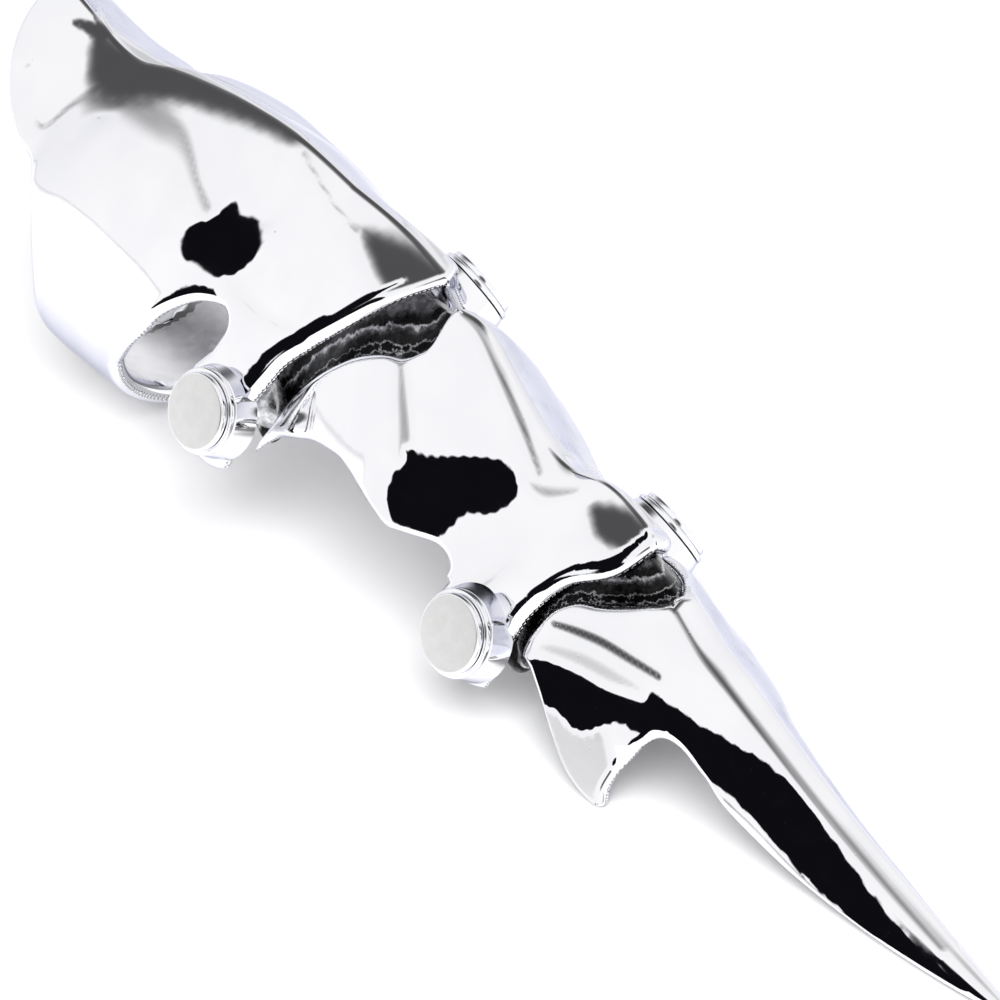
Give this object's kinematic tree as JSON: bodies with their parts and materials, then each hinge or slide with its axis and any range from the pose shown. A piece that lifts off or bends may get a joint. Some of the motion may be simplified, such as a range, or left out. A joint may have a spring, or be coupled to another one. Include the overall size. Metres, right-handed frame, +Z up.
{
  "type": "knuckle armor ring",
  "caption": "Full-finger armor ring in polished metal: hinged shells with a ring band at the knuckle and a pointed, barbed claw tip.",
  "frame": {"origin": "centre of the finger bore in the ring band", "axes": "+X along the finger towards the claw, +Z up through the back of the finger, the band lying level on its lowest line and the barbs"},
  "size_m": [0.1177, 0.03, 0.0322],
  "materials": {
    "polished_metal": "mirror polish"
  },
  "bodies": {
    "base": {"base_shell": "polished_metal", "rivet_1_near": "polished_metal", "rivet_1_far": "polished_metal"},
    "middle": {"middle_shell": "polished_metal", "rivet_2_near": "polished_metal", "rivet_2_far": "polished_metal"},
    "claw": {"claw_shell": "polished_metal"}
  },
  "joints": [
    {"name": "knuckle_hinge", "type": "hinge", "parent": "base", "child": "middle", "pos_m": [0.02023, 0, 0.00204], "axis": [0, 1, 0], "range_deg": [0, 50]},
    {"name": "fingertip_hinge", "type": "hinge", "parent": "middle", "child": "claw", "pos_m": [0.04863, 0, -0.00384], "axis": [0, 1, 0], "range_deg": [0, 50]}
  ]
}
